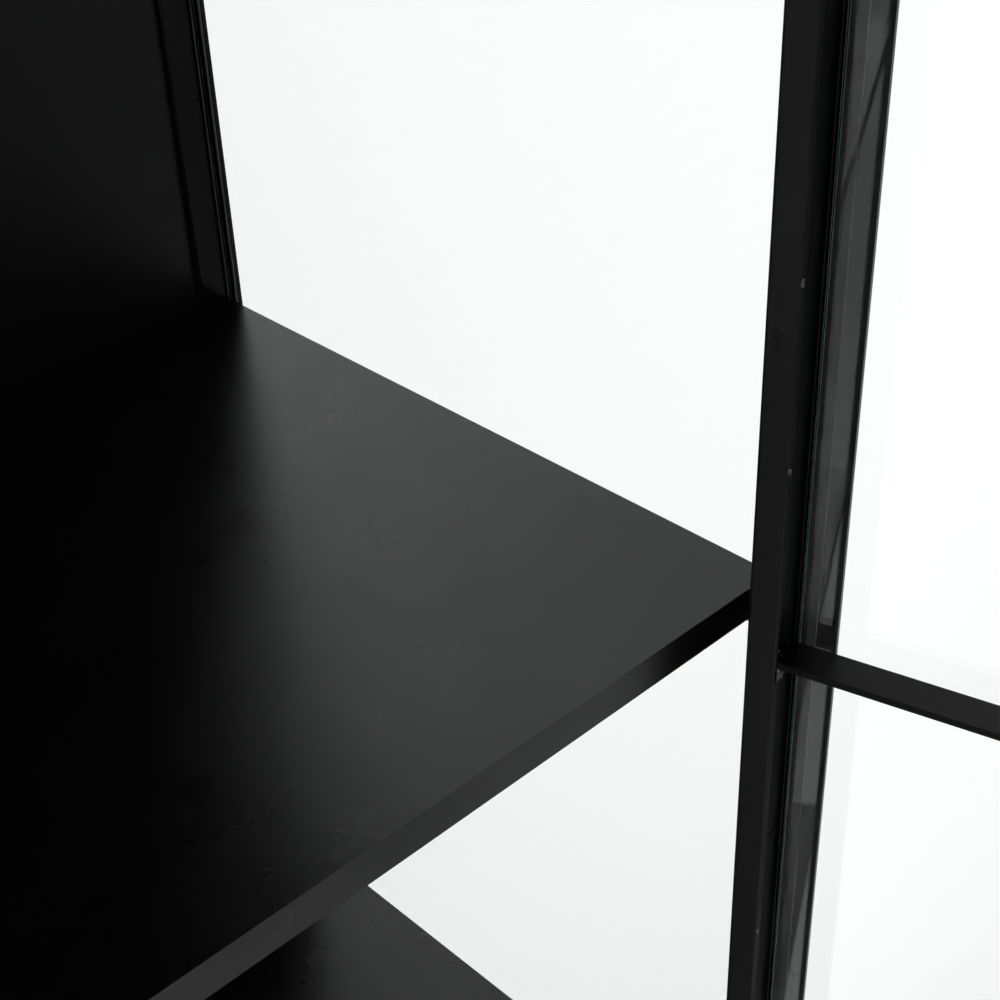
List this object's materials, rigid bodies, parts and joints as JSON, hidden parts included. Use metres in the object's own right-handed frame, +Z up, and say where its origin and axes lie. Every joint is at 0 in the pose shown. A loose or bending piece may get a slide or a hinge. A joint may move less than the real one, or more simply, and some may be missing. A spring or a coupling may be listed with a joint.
{
  "type": "tower display case",
  "caption": "Tall black steel and glass display case with folded shelves, glass sides and one framed glass door on pivot pins.",
  "frame": {"origin": "on the floor, below the middle of the 760 by 400 mm footprint of the case", "axes": "+X to the right seen from the front, +Y to the back, +Z up; the door is on the front, -Y, side and hinges at +X"},
  "size_m": [0.936, 1.0755, 1.95],
  "materials": {
    "coated_tube": "satin black powder coat",
    "coated_sheet": "satin black powder coat",
    "clear_glass": "clear float glass with a green edge",
    "glazing_tape": "dark bedding tape",
    "glazing_seal": "clear silicone",
    "glide_plastic": "matt black moulded plastic",
    "black_plastic": "matt black moulded plastic",
    "zinc_steel": "bright zinc plate",
    "black_knob": "satin black powder coat"
  },
  "bodies": {
    "case": {"post_front_left": "coated_tube", "post_front_right": "coated_tube", "post_back_left": "coated_tube", "post_back_right": "coated_tube", "front_rail_top": "coated_tube", "front_rail_bottom": "coated_tube", "back_rail_top": "coated_tube", "back_rail_bottom": "coated_tube", "side_rail_top_left": "coated_tube", "side_rail_top_right": "coated_tube", "side_rail_bottom_left": "coated_tube", "side_rail_bottom_right": "coated_tube", "top_panel": "coated_sheet", "base_deck": "coated_sheet", "back_panel": "coated_sheet", "side_glass_left": "clear_glass", "side_glass_right": "clear_glass", "side_tape_left": "glazing_tape", "side_tape_right": "glazing_tape", "side_seal_left": "glazing_seal", "side_seal_right": "glazing_seal", "shelf_1": "coated_sheet", "shelf_2": "coated_sheet", "shelf_3": "coated_sheet", "shelf_4": "coated_sheet", "shelf_pins": "zinc_steel", "foot_front_left": "glide_plastic", "foot_front_right": "glide_plastic", "foot_back_left": "glide_plastic", "foot_back_right": "glide_plastic", "wall_fixing_sleeves": "zinc_steel", "hinge_pin_bottom": "zinc_steel", "hinge_pin_top": "zinc_steel", "hinge_washer": "zinc_steel", "catch_upper": "black_plastic", "catch_lower": "black_plastic", "catch_magnets": "zinc_steel", "catch_screws": "zinc_steel"},
    "door": {"door_hinge_stile": "coated_tube", "door_lock_stile": "coated_tube", "door_rail_top": "coated_tube", "door_rail_bottom": "coated_tube", "muntin_1": "coated_tube", "muntin_2": "coated_tube", "muntin_3": "coated_tube", "muntin_4": "coated_tube", "door_glass": "clear_glass", "door_tape": "glazing_tape", "door_seal": "glazing_seal", "hinge_bushes": "black_plastic", "lock_stile_plugs": "black_plastic", "door_knob": "black_knob", "knob_screw": "zinc_steel"}
  },
  "joints": [
    {"name": "door_hinge", "type": "hinge", "parent": "case", "child": "door", "pos_m": [0.3475, -0.194, 1], "axis": [0, 0, 1], "range_deg": [-105, 0]}
  ]
}
